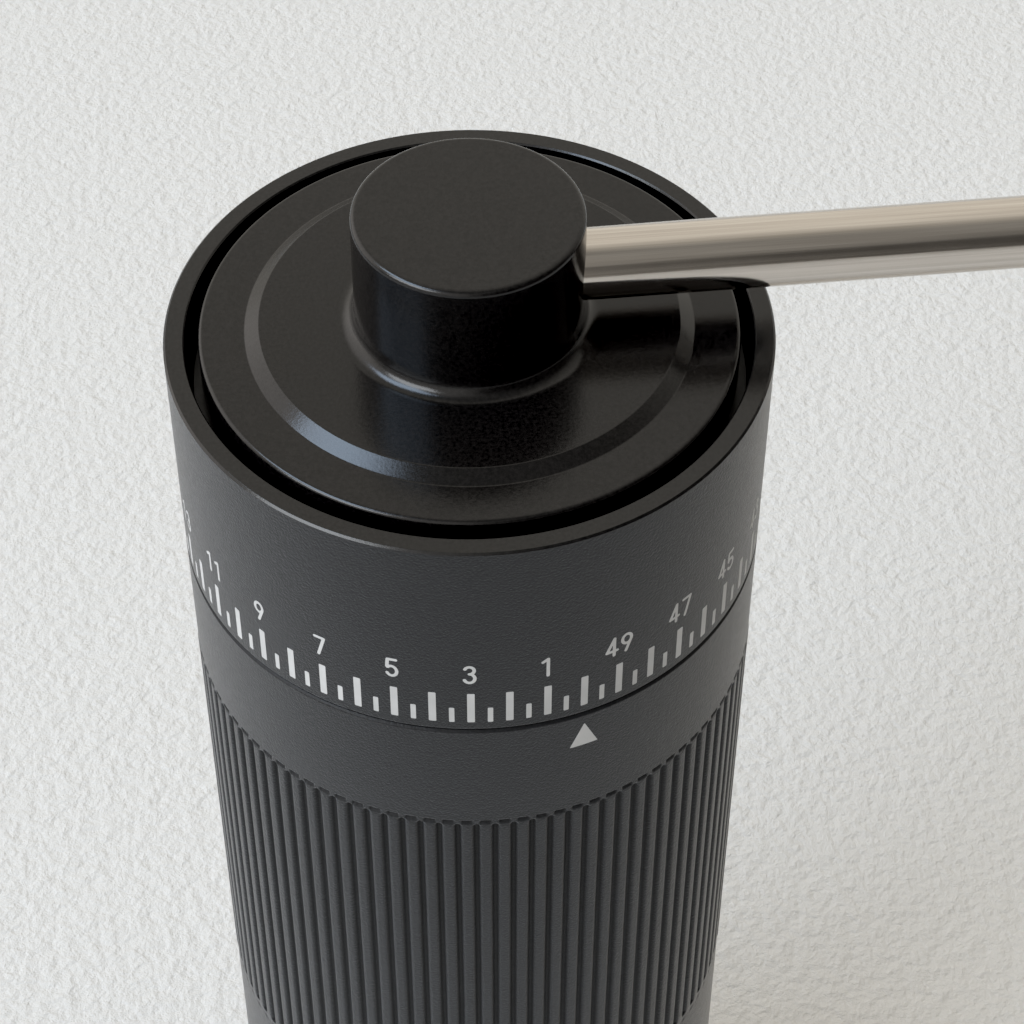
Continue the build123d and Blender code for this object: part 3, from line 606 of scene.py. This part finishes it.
# ---------------------------------------------------------------- crank arm
ARM = 150.0
xs = [-4.8, -4.6, 8.0, 12.0, 30.0, 60.0, 90.0, 120.0, 135.0]
xs += list(np.linspace(136.2, 154.6, 38)) + [154.85, 155.0, 155.1, 155.17]
RN = 112
verts, rings = [], []
for x in xs:
    t = 3.148 - 0.95 * float(smooth(136.0, 142.0, x))
    line = 3.148 + (4.94 - 3.148) * float(np.clip((x - 139.0) / 9.4, 0, 1))
    w = line if x < ARM - 1.6 else math.sqrt(max(5.2 ** 2 - (x - ARM) ** 2, 0.02))
    e = 2.0 + 5.0 * float(smooth(137.0, 144.0, x))
    end = min(1.0, max(0.0, (155.2 - x) / 0.45))
    t *= 0.62 + 0.38 * math.sqrt(1 - (1 - end) ** 2)
    if x < -4.7:
        w, t = w - 0.2, t - 0.2
    ring = []
    for k in range(RN):
        a = 2 * math.pi * k / RN
        ca, sa = math.cos(a), math.sin(a)
        ring.append(len(verts))
        verts.append((x, w * math.copysign(abs(ca) ** (2 / e), ca), ROD_Z + t * math.copysign(abs(sa) ** (2 / e), sa)))
    rings.append(ring)
faces = [(lo[k], lo[(k + 1) % RN], hi[(k + 1) % RN], hi[k]) for lo, hi in zip(rings, rings[1:]) for k in range(RN)]
faces += [rings[0][::-1], rings[-1]]
piece("arm_bar", verts, faces, "crank", "polished_steel", sharp=36.0, stand_for=["crank_arm"])


# ---------------------------------------------------------------- catch cup and its pad
prof = outline([
    (0, 2.0, 0), (24.1, 2.0, 0), (24.1, 0.8, 0.15), (LOW, 0.8, 0.8), (LOW, 49.78, 0.3), (24.36, 49.78, 0.25),
    (24.36, 43.5, 0), (23.8, 43.5, 0.2), (23.8, 5.0, 4.0), (0, 5.0, 0)], 8)
verts, faces = lathe(prof, 288, closed=False)
piece("cup_shell", verts, faces, "cup", "black_anodised", sharp=34.0, stand_for=["catch_cup"])

prof = [(0, 0.45, 0)]
for r in (5.0, 9.0, 13.0, 17.0):
    prof += [(r - 1.2, 0.45, 0.12), (r - 1.0, 0.0, 0.12), (r + 1.0, 0.0, 0.12), (r + 1.2, 0.45, 0.12)]
prof += [(19.6, 0.45, 0.12), (19.8, 0.0, 0.12), (24.0, 0.0, 0.4), (24.0, 1.98, 0), (0, 1.98, 0)]
verts, faces = lathe(outline(prof, 4, 0.03), 240, closed=False)
piece("foot_pad", verts, faces, "cup", "pad_rubber", sharp=40.0, stand_for=["base_pad"])


# ---------------------------------------------------------------- CAD nodes that stay: finish by slot
slot_of = {p["node"]: p["material_slot"] for p in frame["record"]["subparts"]}
for n, o in nodes.items():
    if o.hide_render:
        continue
    o.data.materials.clear()
    o.data.materials.append(M[slot_of[n]])
    for poly in o.data.polygons:
        poly.material_index = 0


# ---------------------------------------------------------------- floor, light, camera
me = bpy.data.meshes.new("floor")
me.from_pydata([(-6, -6, -0.0002), (6, -6, -0.0002), (6, 6, -0.0002), (-6, 6, -0.0002)], [], [(0, 1, 2, 3)])
floor = bpy.data.objects.new("floor", me)
scene.collection.objects.link(floor)
m, nt, p = new_mat("pale_floor")
v = coords(nt)
p.inputs["Base Color"].default_value = (0.50, 0.50, 0.495, 1)
p.inputs["Roughness"].default_value = 0.62
p.inputs["Specular IOR Level"].default_value = 0.3
bump(nt, p, noise(nt, v, 500.0, 4.0, 0.60), 7.5e-4)
me.materials.append(m)

world = bpy.data.worlds.new("soft_room")
scene.world = world
world.use_nodes = True
nt = world.node_tree
bg = nt.nodes["Background"]
tc = nt.nodes.new("ShaderNodeTexCoord")


def toward(direction, a, b):
    """0 to 1 as the looking direction turns towards the given one."""
    dot = nt.nodes.new("ShaderNodeVectorMath")
    dot.operation = "DOT_PRODUCT"
    nt.links.new(tc.outputs["Generated"], dot.inputs[0])
    dot.inputs[1].default_value = Vector(direction).normalized()
    r = nt.nodes.new("ShaderNodeMapRange")
    r.interpolation_type = "SMOOTHSTEP"
    r.inputs["From Min"].default_value = a
    r.inputs["From Max"].default_value = b
    nt.links.new(dot.outputs["Value"], r.inputs["Value"])
    return r.outputs["Result"]


def blend(fac, below, color):
    m = nt.nodes.new("ShaderNodeMix")
    m.data_type = "RGBA"
    nt.links.new(fac, m.inputs["Factor"])
    if isinstance(below, tuple):
        m.inputs["A"].default_value = below
    else:
        nt.links.new(below, m.inputs["A"])
    if isinstance(color, tuple):
        m.inputs["B"].default_value = color
    else:
        nt.links.new(color, m.inputs["B"])
    return m.outputs["Result"]


sky = blend(toward((-0.22, 0.94, 0.25), -0.45, 0.72), (0.16, 0.15, 0.135, 1), (0.92, 0.875, 0.79, 1))
sky = blend(toward((-0.80, 0.45, 0.38), 0.78, 0.98), sky, (1.9, 1.80, 1.70, 1))
tall = nt.nodes.new("ShaderNodeSeparateXYZ")
nt.links.new(tc.outputs["Generated"], tall.inputs[0])
bands = nt.nodes.new("ShaderNodeValToRGB")           # the unlit side of the room, by height
stops = [(0.02, 0.40), (0.16, 0.40), (0.30, 0.22), (0.46, 0.15), (0.58, 0.42), (0.72, 0.42), (0.84, 0.34), (0.91, 0.30), (0.99, 0.27)]
while len(bands.color_ramp.elements) < len(stops):
    bands.color_ramp.elements.new(0.5)
for e, (at, lum) in zip(bands.color_ramp.elements, stops):
    e.position = at
for e, (at, lum) in zip(bands.color_ramp.elements, stops):
    e.color = (lum, lum * 0.97, lum * 0.91, 1)
nt.links.new(tall.outputs["Z"], bands.inputs["Fac"])
sky = blend(toward((0.04, -0.92, 0.39), 0.30, 0.72), sky, bands.outputs["Color"])
sky = blend(toward((-0.62, -0.74, 0.26), 0.64, 0.95), sky, (1.05, 1.01, 0.96, 1))
sky = blend(toward((0.76, -0.64, 0.12), 0.50, 0.92), sky, (0.06, 0.057, 0.053, 1))
nt.links.new(sky, bg.inputs["Color"])
bg.inputs["Strength"].default_value = 1.0


def area_light(name, direction, dist, size, power, color):
    ld = bpy.data.lights.new(name, "AREA")
    ld.shape = "RECTANGLE"
    ld.size, ld.size_y = size
    ld.energy = power
    ld.color = color
    ob = bpy.data.objects.new(name, ld)
    scene.collection.objects.link(ob)
    d = Vector(direction).normalized()
    ob.location = Vector((0, 0, 0.12)) + d * dist
    ob.rotation_mode = "QUATERNION"
    ob.rotation_quaternion = d.to_track_quat("Z", "Y")
    ob.visible_camera = False
    return ob


area_light("window_low", (-0.735, -0.435, 0.515), 3.2, (2.2, 1.1), 52.0, (0.90, 0.95, 1.0))
area_light("window_high", (-0.605, -0.125, 0.785), 3.2, (2.2, 1.1), 54.0, (0.62, 0.78, 1.0))
for name, direction, size, power, color in (                 # the brightest panes, for the shine only
        ("pane_low", (-0.735, -0.435, 0.515), (1.9, 1.0), 58.0, (1.0, 0.96, 0.93)),
        ("pane_high", (-0.615, -0.040, 0.788), (1.9, 0.6), 7.0, (0.66, 0.84, 1.0))):
    area_light(name, direction, 3.2, size, power, color).visible_diffuse = False

fill = area_light("overhead", (0.25, 0.25, 0.93), 3.0, (2.0, 2.0), 37.0, (1.0, 0.93, 0.80))
fill.visible_glossy = False

cam_data = bpy.data.cameras.new("camera")
cam_data.sensor_width = 36.0
cam_data.sensor_fit = "HORIZONTAL"
cam_data.lens = 97.85
cam_data.clip_start = 0.01
cam_data.clip_end = 50.0
cam = bpy.data.objects.new("camera", cam_data)
scene.collection.objects.link(cam)
right = Vector((0.99407, -0.10880, 0.00146)).normalized()
fwd = Vector((0.07447, 0.67054, -0.73813)).normalized()
up = right.cross(fwd).normalized()
right = fwd.cross(up).normalized()
cam.matrix_world = Matrix((
    (right.x, up.x, -fwd.x, -0.01573),
    (right.y, up.y, -fwd.y, -0.17552),
    (right.z, up.z, -fwd.z, 0.32465),
    (0, 0, 0, 1)))
scene.camera = cam
scene.view_settings.view_transform = "Standard"
scene.view_settings.look = "None"
scene.view_settings.use_curve_mapping = True      # a camera's deep blacks
scene.view_settings.curve_mapping.black_level = (0.0028, 0.0028, 0.0026)
scene.view_settings.curve_mapping.update()
